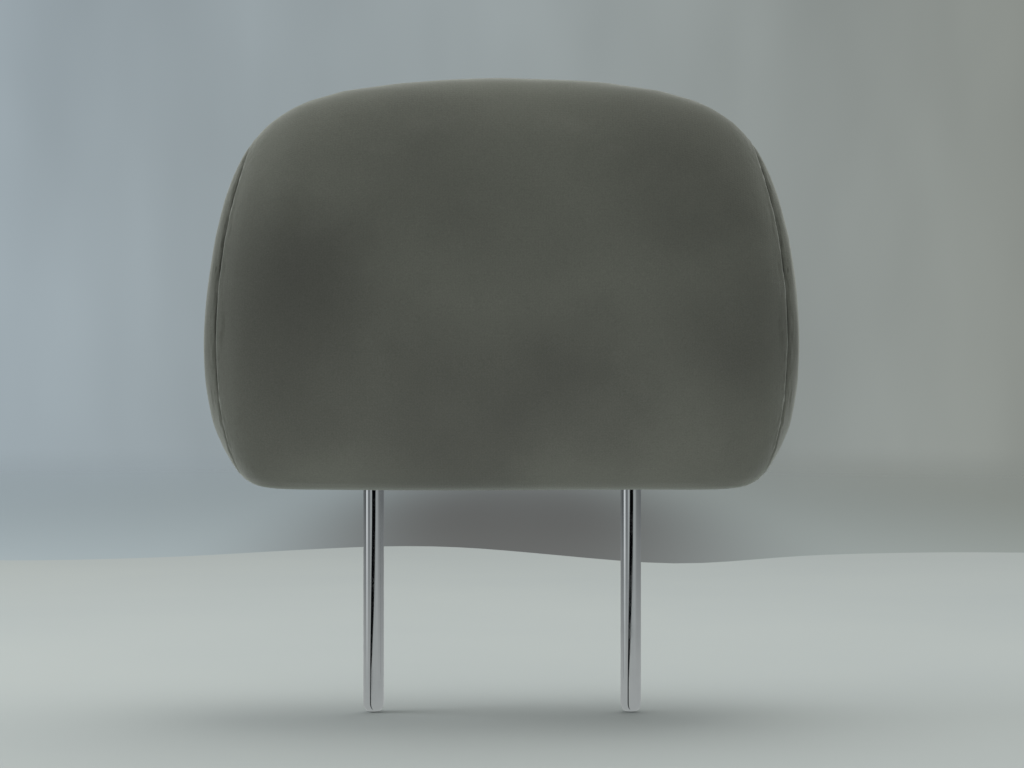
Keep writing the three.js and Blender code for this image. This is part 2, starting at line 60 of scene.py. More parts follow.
# Photographer's table: white paper, with a wavy far edge a metre behind the posts, lies on a pale
# grey cloth that fades out further off. The pad's shadow is painted on the cloth as a darker
# patch, and painted window light makes the cloth paler and bluer on the left. Both are matt and
# run far past the object, so that they only carry its shadow.
def linear(code):
    """An sRGB hex colour as linear RGBA."""
    channels = [int(code[i : i + 2], 16) / 255 for i in (1, 3, 5)]
    return (*[c / 12.92 if c <= 0.04045 else ((c + 0.055) / 1.055) ** 2.4 for c in channels], 1)


def add_node(tree, kind, sockets=None, **settings):
    """A new shader node. Each value in sockets is a number, a colour or a socket to link."""
    made = tree.nodes.new("ShaderNode" + kind)
    for name, value in settings.items():
        setattr(made, name, value)
    for key, value in (sockets or {}).items():
        if isinstance(value, bpy.types.NodeSocket):
            tree.links.new(value, made.inputs[key])
        else:
            made.inputs[key].default_value = value
    return made


def new_material(name):
    """An empty material with its node tree and its output node."""
    material = bpy.data.materials.new(name)
    material.use_nodes = True
    material.node_tree.nodes.clear()
    return material, material.node_tree, add_node(material.node_tree, "OutputMaterial")


def finished_object(name, shape, material, smooth=True):
    """Turns a bmesh into an object at the origin with one material."""
    mesh = bpy.data.meshes.new(name)
    shape.to_mesh(mesh)
    shape.free()
    mesh.polygons.foreach_set("use_smooth", [smooth] * len(mesh.polygons))
    made = bpy.data.objects.new(name, mesh)
    scene.collection.objects.link(made)
    made.data.materials.append(material)
    return made


# Painted window light: the cloth is paler and bluer on the left, the window side, than on the
# right.
window_lit_cloth_colour = "#95A0A5"
cloth_right_colour = "#878C87"
cloth_colours_reach = 0.7
cloth_height = -0.002
cloth_radius = 12
cloth_fade_start = 1.3
cloth_fade_end = 5
# Painted shadow: a darker patch of cloth behind and below the pad, where its shadow falls.
painted_shadow_colour = "#5E5F5E"
painted_shadow_place = (0.01, 1.6, 0)
painted_shadow_half_width = 0.37
painted_shadow_half_depth = 3.2
paper_mottle = 0.333
paper_height = -0.0004
paper_front = -9
paper_back = 1.04
paper_half_width = 8
paper_ripple = 0.01
paper_ripples_per_metre = 9
paper_ripple_seed = 4.2
# Each wave of the paper's far edge: its middle, how far the edge shifts there, and its reach.
paper_edge_waves = ((-0.1, 0.09, 0.14), (-0.45, -0.1, 0.2), (0.15, -0.13, 0.12))

backdrop, tree, output = new_material("backdrop_cotton_cloth")
place = add_node(tree, "TexCoord")
distance = add_node(tree, "VectorMath", {0: place.outputs["Object"]}, operation="LENGTH")
fade = add_node(
    tree,
    "MapRange",
    {
        "Value": distance.outputs["Value"],
        "From Min": cloth_fade_start,
        "From Max": cloth_fade_end,
    },
    interpolation_type="SMOOTHSTEP",
)
from_shade = add_node(
    tree,
    "VectorMath",
    {0: place.outputs["Object"], 1: [-value for value in painted_shadow_place]},
    operation="ADD",
)
in_shade_sizes = add_node(
    tree,
    "VectorMath",
    {0: from_shade.outputs["Vector"], 1: (1 / painted_shadow_half_width, 1 / painted_shadow_half_depth, 1)},
    operation="MULTIPLY",
)
out_of_shade = add_node(
    tree, "VectorMath", {0: in_shade_sizes.outputs["Vector"]}, operation="LENGTH"
)
shaded = add_node(
    tree,
    "MapRange",
    {"Value": out_of_shade.outputs["Value"], "From Min": 0.1, "From Max": 1.0},
    interpolation_type="SMOOTHERSTEP",
)
sideways = add_node(tree, "SeparateXYZ", {0: place.outputs["Object"]})
rightwards = add_node(
    tree,
    "MapRange",
    {
        "Value": sideways.outputs["X"],
        "From Min": -cloth_colours_reach,
        "From Max": cloth_colours_reach,
    },
)
# Painted window light: blends from the window-lit colour on the left to the plain colour on the
# right.
open_cloth = add_node(
    tree,
    "MixRGB",
    {
        "Fac": rightwards.outputs["Result"],
        "Color1": linear(window_lit_cloth_colour),
        "Color2": linear(cloth_right_colour),
    },
)
# Painted shadow: the cloth's colour is mixed towards the dark colour near the pad.
shade = add_node(
    tree,
    "MixRGB",
    {
        "Fac": shaded.outputs["Result"],
        "Color1": linear(painted_shadow_colour),
        "Color2": open_cloth.outputs["Color"],
    },
)
matt = add_node(tree, "BsdfDiffuse", {"Color": shade.outputs["Color"]})
clear = add_node(tree, "BsdfTransparent")
fading = add_node(
    tree,
    "MixShader",
    {0: fade.outputs["Result"], 1: matt.outputs["BSDF"], 2: clear.outputs["BSDF"]},
)
tree.links.new(fading.outputs["Shader"], output.inputs["Surface"])

shape = bmesh.new()
bmesh.ops.create_circle(shape, cap_ends=True, radius=cloth_radius, segments=96)
bmesh.ops.translate(shape, vec=(0, 0, cloth_height), verts=shape.verts)
table_cloth = finished_object("stage_table_cloth", shape, backdrop)
table_cloth.visible_glossy = False
table_cloth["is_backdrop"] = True

paper, tree, output = new_material("white_drawing_paper")
place = add_node(tree, "TexCoord")
mottle = add_node(
    tree,
    "TexNoise",
    {"Vector": place.outputs["Object"], "Scale": 1 / paper_mottle, "Detail": 3.0},
)
shade = add_node(
    tree,
    "MixRGB",
    {"Fac": mottle.outputs["Fac"], "Color1": linear("#969C9B"), "Color2": linear("#9EA3A0")},
)
matt = add_node(tree, "BsdfDiffuse", {"Color": shade.outputs["Color"]})
tree.links.new(matt.outputs["BSDF"], output.inputs["Surface"])

shape = bmesh.new()
bmesh.ops.create_grid(shape, x_segments=640, y_segments=2, size=1)
for vertex in shape.verts:
    share = (vertex.co.y + 1) / 2
    vertex.co.x *= paper_half_width
    along = vertex.co.x * paper_ripples_per_metre
    ripple = paper_ripple * noise.noise(Vector((along, paper_ripple_seed, 0)))
    for middle, shift, reach in paper_edge_waves:
        ripple += shift * math.exp(-(((vertex.co.x - middle) / reach) ** 2))
    vertex.co.y = paper_front + share * (paper_back - paper_front + ripple)
    vertex.co.z = paper_height
paper_sheet = finished_object("stage_paper", shape, paper)
paper_sheet.visible_glossy = False
paper_sheet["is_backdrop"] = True


# Camera and light: a long lens a good metre in front of the object and level with the middle of
# the pad. The room is pale, and dimmer behind the camera. The chrome mirrors it by direction: a
# window on the left, pale walls, and a dark doorway behind the camera, narrower lower down.
camera_distance = 1.1
camera_right = 0.0048
camera_height = 0.1602
frame_width_there = 0.5018

camera_data = bpy.data.cameras.new("camera")
camera_data.sensor_width = 36
camera_data.lens = 36 * camera_distance / frame_width_there
camera = bpy.data.objects.new("camera", camera_data)
camera.location = (camera_right, -camera_distance, camera_height)
camera.rotation_euler = (math.pi / 2, 0, 0)
scene.collection.objects.link(camera)
scene.camera = camera

daylight_colour = "#FEFFFF"
level_light = 0.85
overhead_light = 1.0
light_behind_camera = 0.2
light_behind_pad = 1.2
window_side_colour = "#9BA7AE"
far_side_colour = "#8C908A"
wall_colours_reach = 0.25
fold_stretch = (7, 1, 2.5)
fold_scale = 1.6
fold_dark = 0.88
fold_bright = 1.08
noise_low = 0.3
noise_high = 0.7
low_wall_colour = "#ABAEAD"
low_wall_start = -0.052
low_wall_end = -0.131
doorway_colour = "#060708"
door_middle_high = 0.09
door_lean = -0.19
door_bow = -0.47
door_half_high = 0.37
door_narrowing = -0.26
door_edge_start = 0.8
door_edge_end = 1.15
# What the chrome mirrors at eye level: degrees to the right of the way to the camera, and colour.
mirrored_room = (
    (-180, "#6C6F70"),
    (-124, "#6C6F70"),
    (-104, "#505354"),
    (-95, "#54585A"),
    (-87, "#DADDDF"),
    (-70, "#DADDDF"),
    (-60, "#707374"),
    (-40, "#74777A"),
    (-31, "#AEB2B3"),
    (-14, "#B2B6B6"),
    (20, "#8E9495"),
    (34, "#A4A8A8"),
    (50, "#9C9F9F"),
    (66, "#767979"),
    (120, "#6C6F70"),
    (180, "#6C6F70"),
)

world = bpy.data.worlds.new("pale_room")
world.use_nodes = True
tree = world.node_tree
tree.nodes.clear()
output = add_node(tree, "OutputWorld")
path = add_node(tree, "LightPath")
direction = add_node(tree, "TexCoord")
axes = add_node(tree, "SeparateXYZ", {0: direction.outputs["Generated"]})
overhead = add_node(
    tree,
    "MapRange",
    {
        "Value": axes.outputs["Z"],
        "From Min": 0,
        "From Max": 0.8,
        "To Min": level_light,
        "To Max": overhead_light,
    },
)
behind = add_node(
    tree,
    "MapRange",
    {
        "Value": axes.outputs["Y"],
        "From Min": -0.95,
        "From Max": 0.1,
        "To Min": light_behind_camera,
        "To Max": light_behind_pad,
    },
    interpolation_type="SMOOTHSTEP",
)
strength = add_node(
    tree,
    "Math",
    {0: overhead.outputs["Result"], 1: behind.outputs["Result"]},
    operation="MULTIPLY",
)
room_light = add_node(
    tree, "Background", {"Color": linear(daylight_colour), "Strength": strength.outputs[0]}
)

towards_right = add_node(
    tree,
    "MapRange",
    {
        "Value": axes.outputs["X"],
        "From Min": -wall_colours_reach,
        "From Max": wall_colours_reach,
    },
)
wall = add_node(
    tree,
    "MixRGB",
    {
        "Fac": towards_right.outputs["Result"],
        "Color1": linear(window_side_colour),
        "Color2": linear(far_side_colour),
    },
)
hanging = add_node(
    tree, "Mapping", {"Vector": direction.outputs["Generated"], "Scale": fold_stretch}
)
folds = add_node(
    tree, "TexNoise", {"Vector": hanging.outputs["Vector"], "Scale": fold_scale, "Detail": 3.0}
)
fold_shade = add_node(
    tree,
    "MapRange",
    {
        "Value": folds.outputs["Fac"],
        "From Min": noise_low,
        "From Max": noise_high,
        "To Min": fold_dark,
        "To Max": fold_bright,
    },
)
room_seen = add_node(
    tree, "Background", {"Color": wall.outputs["Color"], "Strength": fold_shade.outputs["Result"]}
)

backwards = add_node(tree, "Math", {0: axes.outputs["Y"], 1: -1.0}, operation="MULTIPLY")
azimuth = add_node(
    tree, "Math", {0: axes.outputs["X"], 1: backwards.outputs[0]}, operation="ARCTAN2"
)
share = add_node(
    tree, "MapRange", {"Value": azimuth.outputs[0], "From Min": -math.pi, "From Max": math.pi}
)
walls = add_node(tree, "ValToRGB", {"Fac": share.outputs["Result"]})
stops = walls.color_ramp.elements
while len(stops) > 1:
    stops.remove(stops[-1])
for number, (degrees, colour) in enumerate(mirrored_room):
    stop = stops.new((degrees + 180) / 360) if number else stops[0]
    stop.position = (degrees + 180) / 360
    stop.color = linear(colour)
lower = add_node(
    tree,
    "MapRange",
    {"Value": axes.outputs["Z"], "From Min": low_wall_start, "From Max": low_wall_end},
)
mirrored_walls = add_node(
    tree,
    "MixRGB",
    {
        "Fac": lower.outputs["Result"],
        "Color1": walls.outputs["Color"],
        "Color2": linear(low_wall_colour),
    },
)
lean = add_node(
    tree,
    "Math",
    {0: lower.outputs["Result"], 1: door_bow, 2: door_lean},
    operation="MULTIPLY_ADD",
)
door_middle = add_node(
    tree,
    "Math",
    {0: lean.outputs[0], 1: lower.outputs["Result"], 2: door_middle_high},
    operation="MULTIPLY_ADD",
)
narrowing = add_node(tree, "Math", {0: lower.outputs["Result"], 1: 3.0}, operation="POWER")
door_half = add_node(
    tree,
    "Math",
    {0: narrowing.outputs[0], 1: door_narrowing, 2: door_half_high},
    operation="MULTIPLY_ADD",
)
from_middle = add_node(
    tree, "Math", {0: azimuth.outputs[0], 1: door_middle.outputs[0]}, operation="SUBTRACT"
)
either_side = add_node(tree, "Math", {0: from_middle.outputs[0]}, operation="ABSOLUTE")
in_door_halves = add_node(
    tree, "Math", {0: either_side.outputs[0], 1: door_half.outputs[0]}, operation="DIVIDE"
)
beside_door = add_node(
    tree,
    "MapRange",
    {"Value": in_door_halves.outputs[0], "From Min": door_edge_start, "From Max": door_edge_end},
    interpolation_type="SMOOTHSTEP",
)
mirrored = add_node(
    tree,
    "MixRGB",
    {
        "Fac": beside_door.outputs["Result"],
        "Color1": linear(doorway_colour),
        "Color2": mirrored_walls.outputs["Color"],
    },
)
room_mirrored = add_node(tree, "Background", {"Color": mirrored.outputs["Color"], "Strength": 1})

by_eye = add_node(
    tree,
    "MixShader",
    {0: path.outputs["Is Camera Ray"], 1: room_light.outputs[0], 2: room_seen.outputs[0]},
)
shiny = add_node(
    tree,
    "Math",
    {0: path.outputs["Is Glossy Ray"], 1: path.outputs["Is Transmission Ray"]},
    operation="ADD",
    use_clamp=True,
)
by_mirror = add_node(
    tree,
    "MixShader",
    {0: shiny.outputs[0], 1: by_eye.outputs[0], 2: room_mirrored.outputs[0]},
)
tree.links.new(by_mirror.outputs["Shader"], output.inputs["Surface"])
scene.world = world

pad_middle = (0, 0, 0.2)
# Each lamp: its name, its place, what it faces, its sides, its watts and its colour.
lamps = (
    ("window", (-1.3, 0.0, 0.75), pad_middle, (0.8, 0.9), 10, "#F8FAFF"),
    ("ceiling", (0.2, 0.2, 1.5), pad_middle, (1.0, 1.0), 10, "#FFFEFC"),
    ("room", (0.4, -1.7, 0.9), pad_middle, (0.9, 0.9), 2, "#FFFFFF"),
    ("bounce", (0.02, -0.22, 0.001), (0.02, -0.22, 1), (0.45, 0.2), 0.75, "#FFFFFF"),
)
for name, place, target, sides, watts, colour in lamps:
    lamp_data = bpy.data.lights.new(name, "AREA")
    lamp_data.shape = "RECTANGLE"
    lamp_data.size, lamp_data.size_y = sides
    lamp_data.energy = watts
    lamp_data.color = linear(colour)[:3]
    lamp = bpy.data.objects.new(name, lamp_data)
    lamp.location = place
    lamp.rotation_euler = (Vector(target) - Vector(place)).to_track_quat("-Z", "Y").to_euler()
    lamp.visible_glossy = False
    lamp.visible_camera = False
    scene.collection.objects.link(lamp)


# Stay: one round steel bar, bent to an upturned U, polished and chrome plated. Its two legs come
# out of the pad as the posts. Their tips are turned round, and the right leg has three height
# notches ground into its rear.
post_radius = 0.005
half_pitch = 0.063
crossbar_height = 0.217
bend_radius = 0.024
tip_flat_radius = 0.002
tip_round_height = 0.0046
bar_sides = 64
bar_crisp_angle = 32
tip_steps = 8
bend_steps = 16
notch_feet = (0.026, 0.055, 0.084)
notch_depth = 0.0015
notch_ramp = 0.005
notch_seat = 0.0035
notch_edge = 0.0003
polish_line_gap = 0.000385
polish_line_length = 0.0385
rubbed_spot = 0.0111
polished_roughness = 0.03
rubbed_roughness = 0.1

chrome, tree, output = new_material("chrome_plated_steel")
# Decorative chrome: a near mirror, neutral grey, with faint polishing lines along the bar and
# a few duller rubbed spots where the guides of the seat grip it.
place = add_node(tree, "TexCoord")
along = add_node(
    tree,
    "Mapping",
    {
        "Vector": place.outputs["Object"],
        "Scale": (1 / polish_line_gap, 1 / polish_line_gap, 1 / polish_line_length),
    },
)
lines = add_node(
    tree, "TexNoise", {"Vector": along.outputs["Vector"], "Scale": 1.0, "Detail": 2.0}
)
spots = add_node(
    tree,
    "TexNoise",
    {"Vector": place.outputs["Object"], "Scale": 1 / rubbed_spot, "Detail": 4.0},
)
rubbed = add_node(
    tree,
    "MapRange",
    {
        "Value": spots.outputs["Fac"],
        "From Min": 0.45,
        "From Max": 0.8,
        "To Min": polished_roughness,
        "To Max": rubbed_roughness,
    },
)
tint = add_node(
    tree,
    "MixRGB",
    {"Fac": spots.outputs["Fac"], "Color1": linear("#E4E6E7"), "Color2": linear("#D6D9DB")},
)
polish = add_node(
    tree, "Bump", {"Strength": 0.12, "Distance": 0.00002, "Height": lines.outputs["Fac"]}
)
metal = add_node(
    tree,
    "BsdfPrincipled",
    {
        "Base Color": tint.outputs["Color"],
        "Metallic": 1.0,
        "Roughness": rubbed.outputs["Result"],
        "Normal": polish.outputs["Normal"],
    },
)
tree.links.new(metal.outputs["BSDF"], output.inputs["Surface"])


def leg_stations():
    """Places along the bar from the left tip to the right tip: (x, z, turn, radius, grind)."""
    tip = []
    for step in range(tip_steps + 1):
        swing = math.pi / 2 * step / tip_steps
        radius = tip_flat_radius + (post_radius - tip_flat_radius) * math.sin(swing)
        tip.append((tip_round_height * (1 - math.cos(swing)), radius))
    bend = []
    for step in range(bend_steps + 1):
        swing = math.pi / 2 * step / bend_steps
        x = half_pitch - bend_radius + bend_radius * math.cos(swing)
        bend.append((x, crossbar_height - bend_radius + bend_radius * math.sin(swing), swing))
    tip.append((tip_round_height + notch_edge, post_radius))
    tip.append((tip_round_height + 3 * notch_edge, post_radius))
    bend.insert(0, (half_pitch, bend[0][1] - 3 * notch_edge, 0))
    stations = [(-half_pitch, z, 0, radius, 0) for z, radius in tip]
    stations += [(-x, z, swing, post_radius, 0) for x, z, swing in bend]
    stations += [(x, z, math.pi - swing, post_radius, 0) for x, z, swing in reversed(bend)]
    for foot in reversed(notch_feet):
        top = foot + notch_ramp + notch_seat
        for z, depth in (
            (top + notch_edge / 2, 0),
            (top, notch_edge / 2),
            (top - notch_edge / 2, notch_depth - notch_edge / 2),
            (top - notch_edge, notch_depth),
            (foot + notch_ramp, notch_depth),
            (foot + notch_ramp / 2, notch_depth / 2),
            (foot, 0),
        ):
            stations.append((half_pitch, z, math.pi, post_radius, depth))
    stations += [(half_pitch, z, math.pi, radius, 0) for z, radius in reversed(tip)]
    return stations


shape = bmesh.new()
bmesh.ops.create_circle(shape, cap_ends=True, radius=1, segments=bar_sides)
shape.faces.ensure_lookup_table()
end = shape.faces[0]
ring = [corner.co.copy() for corner in end.verts]
stations = leg_stations()
for number, (x, z, turn, radius, grind) in enumerate(stations):
    if number:
        end = bmesh.ops.extrude_discrete_faces(shape, faces=[end])["faces"][0]
    here = (
        Matrix.Translation((x, 0, z)) @ Matrix.Rotation(turn, 4, "Y") @ Matrix.Scale(radius, 4)
    )
    for corner, point in zip(end.verts, ring):
        corner.co = here @ point
        if grind:
            corner.co.y = min(corner.co.y, post_radius - grind)
bmesh.ops.holes_fill(shape, edges=[edge for edge in shape.edges if edge.is_boundary])
bmesh.ops.recalc_face_normals(shape, faces=shape.faces)
stay = finished_object("stay_bar", shape, chrome)
stay.data.set_sharp_from_angle(angle=math.radians(bar_crisp_angle))
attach(stay, "root")
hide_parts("stay")


# Armature: two moulded nylon trays with ribs, closed round the stay by four zinc-plated screws.
# They are hidden in the foam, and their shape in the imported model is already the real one, so
# only their finish is made here: dry, slightly grained black plastic and dull plated steel.
nylon_grain = 0.00111
nylon_flow = 0.025
zinc_cloud = 0.00143

nylon, tree, output = new_material("glass_filled_nylon")
# Moulded nylon with glass fibre: satin black with a faint flow grain from the mould.
place = add_node(tree, "TexCoord")
grain = add_node(
    tree,
    "TexNoise",
    {"Vector": place.outputs["Object"], "Scale": 1 / nylon_grain, "Detail": 4.0},
)
flow = add_node(
    tree,
    "TexNoise",
    {"Vector": place.outputs["Object"], "Scale": 1 / nylon_flow, "Distortion": 2.0},
)
shade = add_node(
    tree,
    "MixRGB",
    {"Fac": flow.outputs["Fac"], "Color1": linear("#232425"), "Color2": linear("#303132")},
)
dull = add_node(
    tree, "MapRange", {"Value": flow.outputs["Fac"], "To Min": 0.42, "To Max": 0.62}
)
relief = add_node(
    tree, "Bump", {"Strength": 0.35, "Distance": 0.0001, "Height": grain.outputs["Fac"]}
)
plastic = add_node(
    tree,
    "BsdfPrincipled",
    {
        "Base Color": shade.outputs["Color"],
        "Roughness": dull.outputs["Result"],
        "IOR": 1.53,
        "Normal": relief.outputs["Normal"],
    },
)
tree.links.new(plastic.outputs["BSDF"], output.inputs["Surface"])

zinc, tree, output = new_material("zinc_plated_steel")
# Passivated zinc: pale yellowish grey metal, cloudy.
place = add_node(tree, "TexCoord")
cloud = add_node(
    tree,
    "TexNoise",
    {"Vector": place.outputs["Object"], "Scale": 1 / zinc_cloud, "Detail": 5.0},
)
shade = add_node(
    tree,
    "MixRGB",
    {"Fac": cloud.outputs["Fac"], "Color1": linear("#B5B3A6"), "Color2": linear("#9C9A92")},
)
dull = add_node(
    tree, "MapRange", {"Value": cloud.outputs["Fac"], "To Min": 0.28, "To Max": 0.5}
)
metal = add_node(
    tree,
    "BsdfPrincipled",
    {"Base Color": shade.outputs["Color"], "Metallic": 1.0, "Roughness": dull.outputs["Result"]},
)
tree.links.new(metal.outputs["BSDF"], output.inputs["Surface"])


def refinish(names, material):
    """Gives carried-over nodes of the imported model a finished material."""
    for name in names:
        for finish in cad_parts[name].material_slots:
            finish.material = material


refinish(["armature_front", "armature_rear"], nylon)
refinish([f"armature_screw_{number}" for number in (1, 2, 3, 4)], zinc)


# Grommets: barbed nylon sleeves pressed into the underside of the cover, one round each post.
# Turned here with rounded edges, because their flanges show from below.
grommet_bore = 0.0054
grommet_sleeve_radius = 0.007
grommet_barb_radius = 0.0077
grommet_flange_radius = 0.011
grommet_flange = 0.0012
grommet_height = 0.011
grommet_barb_start = 0.6
grommet_barb_widest = 0.65
grommet_top = 0.1101
grommet_edge = 0.0004
grommet_crisp_angle = 50

for side, x in (("left", -half_pitch), ("right", half_pitch)):
    outline = [
        (grommet_bore, grommet_height),
        (grommet_bore, grommet_edge - grommet_flange),
        (grommet_bore + grommet_edge, -grommet_flange),
        (grommet_flange_radius - 2 * grommet_edge, -grommet_flange),
        (grommet_flange_radius - grommet_edge / 2, -grommet_flange + grommet_edge / 2),
        (grommet_flange_radius, -grommet_flange / 3),
        (grommet_flange_radius - grommet_edge / 2, 0),
        (grommet_sleeve_radius, 0),
        (grommet_sleeve_radius, grommet_height * grommet_barb_start),
        (grommet_barb_radius, grommet_height * grommet_barb_widest),
        (grommet_sleeve_radius, grommet_height),
    ]
    shape = bmesh.new()
    corners = [shape.verts.new((x + radius, 0, grommet_top + z)) for radius, z in outline]
    edges = [shape.edges.new(pair) for pair in zip(corners, corners[1:] + corners[:1])]
    bmesh.ops.spin(
        shape,
        geom=corners + edges,
        cent=(x, 0, 0),
        axis=(0, 0, 1),
        angle=2 * math.pi,
        steps=48,
        use_merge=True,
    )
    bmesh.ops.recalc_face_normals(shape, faces=shape.faces)
    grommet = finished_object(f"post_sleeve_{side}", shape, nylon)
    grommet.data.set_sharp_from_angle(angle=math.radians(grommet_crisp_angle))
    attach(grommet, "root")
    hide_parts(f"post_grommet_{side}")


# Foam: one moulding of cold-cure polyurethane round the armature, with channels for the posts.
# Its skin is slightly pitted and its edges are soft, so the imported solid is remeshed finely.
foam_cell = 0.0026
foam_smoothings = 3
foam_pit = 0.00625
foam_pit_depth = 0.0003
foam_pore = 0.00091
foam_cloud = 0.033

foam_rubber, tree, output = new_material("polyurethane_foam")
# Moulded foam: pale yellow, quite matt, with open pores under a millimetre across.
place = add_node(tree, "TexCoord")
pores = add_node(
    tree,
    "TexVoronoi",
    {"Vector": place.outputs["Object"], "Scale": 1 / foam_pore, "Randomness": 1.0},
)
cloud = add_node(
    tree,
    "TexNoise",
    {"Vector": place.outputs["Object"], "Scale": 1 / foam_cloud, "Detail": 3.0},
)
shade = add_node(
    tree,
    "MixRGB",
    {"Fac": cloud.outputs["Fac"], "Color1": linear("#DCCFA4"), "Color2": linear("#CDBE90")},
)
relief = add_node(
    tree, "Bump", {"Strength": 0.8, "Distance": 0.0004, "Height": pores.outputs["Distance"]}
)
soft = add_node(
    tree,
    "BsdfPrincipled",
    {
        "Base Color": shade.outputs["Color"],
        "Roughness": 0.95,
        "IOR": 1.45,
        "Normal": relief.outputs["Normal"],
    },
)
tree.links.new(soft.outputs["BSDF"], output.inputs["Surface"])


def baked(thing, kind, **settings):
    """The object's mesh after one more modifier, as a new mesh."""
    modifier = thing.modifiers.new(kind.lower(), kind)
    for name, value in settings.items():
        setattr(modifier, name, value)
    now = bpy.context.evaluated_depsgraph_get()
    mesh = bpy.data.meshes.new_from_object(thing.evaluated_get(now))
    thing.modifiers.clear()
    return mesh


shape = bmesh.new()
shape.from_mesh(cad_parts["foam_pad"].data)
bmesh.ops.remove_doubles(shape, verts=shape.verts, dist=1e-5)
foam = finished_object("foam_core", shape, foam_rubber)
foam.data = baked(foam, "REMESH", mode="VOXEL", voxel_size=foam_cell)
shape = bmesh.new()
shape.from_mesh(foam.data)
for _ in range(foam_smoothings):
    bmesh.ops.smooth_vert(
        shape, verts=shape.verts, factor=0.5, use_axis_x=True, use_axis_y=True, use_axis_z=True
    )
shape.normal_update()
for corner in shape.verts:
    corner.co -= corner.normal * foam_pit_depth * (0.5 + noise.noise(corner.co / foam_pit))
shape.to_mesh(foam.data)
shape.free()
foam.data.polygons.foreach_set("use_smooth", [True] * len(foam.data.polygons))
foam.data.materials.clear()
foam.data.materials.append(foam_rubber)
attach(foam, "root")
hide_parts("foam_pad")


# Cover, its form: knitted velour bonded to thin foam, drawn tight over the pad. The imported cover
# is wrapped in one skin, remeshed and smoothed, and then swollen by a cloth simulation that is
# held along both side seams and at the underside, as the stuffing does to the real one.
cover_nodes = ["cover_main_panel", "cover_side_panel_left", "cover_side_panel_right"]
seam_reach = 0.1349
seam_widest_height = 0.183
seam_upper_radius = 0.29
seam_lower_radius = 0.2
skin_cell = 0.004
skin_smoothings = 90
smooth_share = 0.5
unshrink_share = -0.53
start_inset = 0.0001
swell_cap = 0.002
swell_frames = 20
swell_pressure = 4
seam_hold_width = 0.004
underside_hold = 0.1135
underside_hold_weight = 0.9


def seam_half_width(height):
    """Half the pad's width at its seams, which are arcs seen from the front."""
    rise = height - seam_widest_height
    radius = seam_upper_radius if rise > 0 else seam_lower_radius
    return seam_reach - rise * rise / (2 * radius)


shape = bmesh.new()
for name in cover_nodes:
    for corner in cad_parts[name].data.vertices:
        shape.verts.new(corner.co)
bmesh.ops.remove_doubles(shape, verts=shape.verts, dist=1e-5)
hull = bmesh.ops.convex_hull(shape, input=shape.verts, use_existing_faces=False)
inner = [item for item in hull["geom_interior"] if isinstance(item, bmesh.types.BMVert)]
bmesh.ops.delete(shape, geom=inner, context="VERTS")
skin = finished_object("cover_skin", shape, foam_rubber)
skin.data = baked(skin, "REMESH", mode="VOXEL", voxel_size=skin_cell)

shape = bmesh.new()
shape.from_mesh(skin.data)
for step in range(skin_smoothings):
    bmesh.ops.smooth_vert(
        shape,
        verts=shape.verts,
        factor=unshrink_share if step % 2 else smooth_share,
        use_axis_x=True,
        use_axis_y=True,
        use_axis_z=True,
    )
shape.normal_update()
for corner in shape.verts:
    corner.co -= corner.normal * start_inset
shape.to_mesh(skin.data)
held = {}
for corner in shape.verts:
    gap = abs(abs(corner.co.x) - seam_half_width(corner.co.z))
    sewn = max(0.0, 1 - gap / seam_hold_width)
    tied = underside_hold_weight if corner.co.z < underside_hold else 0.0
    held[corner.index] = max(sewn, tied)
shape.free()
seams = skin.vertex_groups.new(name="seams")
for index, weight in held.items():
    if weight > 0:
        seams.add([index], weight, "REPLACE")

before = numpy.array([corner.co[:] for corner in skin.data.vertices])
outward = numpy.array([corner.normal[:] for corner in skin.data.vertices])
stuffing = skin.modifiers.new("stuffing", "CLOTH")
stuffing.settings.quality = 5
stuffing.settings.use_pressure = True
stuffing.settings.uniform_pressure_force = swell_pressure
stuffing.settings.effector_weights.gravity = 0
stuffing.settings.vertex_group_mass = "seams"
stuffing.collision_settings.use_collision = False
stuffing.point_cache.frame_start = 1
stuffing.point_cache.frame_end = swell_frames
for step in range(1, swell_frames + 1):
    scene.frame_set(step)
now = bpy.context.evaluated_depsgraph_get()
swollen = bpy.data.meshes.new_from_object(skin.evaluated_get(now))
after = numpy.array([corner.co[:] for corner in swollen.vertices])
raised = ((after - before) * outward).sum(axis=1, keepdims=True)
raised = numpy.clip(raised, 0, swell_cap)
skin.modifiers.clear()
skin.data.vertices.foreach_set("co", (before + raised * outward).ravel())
skin.data.update()
scene.frame_set(1)
skin.data = baked(skin, "SUBSURF", levels=1, render_levels=1)


# Cover, its seams: the side panels are sewn to the main panel face to face and turned, so each
# seam is a narrow groove with a thin roll beside it, the folded edge of the main panel. The
# stuffing fills the edges and the low sides, and the cloth dips where the posts go in.

# The loops along each seam lie this many millimetres from it, outwards.
seam_loops = (-9, -6.5, -4.8, -3.6, -2.7, -2, -1.5, -1.1, -0.7, -0.35)
seam_loops += (0, 0.35, 0.7, 1.1, 1.6, 2.3, 3.4, 5, 7)
loop_snap = 0.00012
loop_search = 0.006
seam_influence = 0.048
seam_least_slope = 0.3
pull_depth = 0.0006
pull_width = 0.005
pillow_depth = 0.0045
pillow_width = 0.011
groove_depth = 0.0013
groove_width = 0.0011
roll_height = 0.0005
roll_place = -0.002
roll_width = 0.0013
side_roll_height = 0.0003
side_roll_place = 0.002
pucker_depth = 0.00025
pucker_pitch = 0.011
unevenness = 0.0004
unevenness_per_metre = 22
ends_share = 0.2
edge_fill = 0.0009
corner_fill = 0.0004
low_side_fill = 0.0013
low_side_height = 0.138
low_side_reach = 0.034
post_dimple_depth = 0.0014
post_dimple_radius = 0.015
faces_down = -0.5

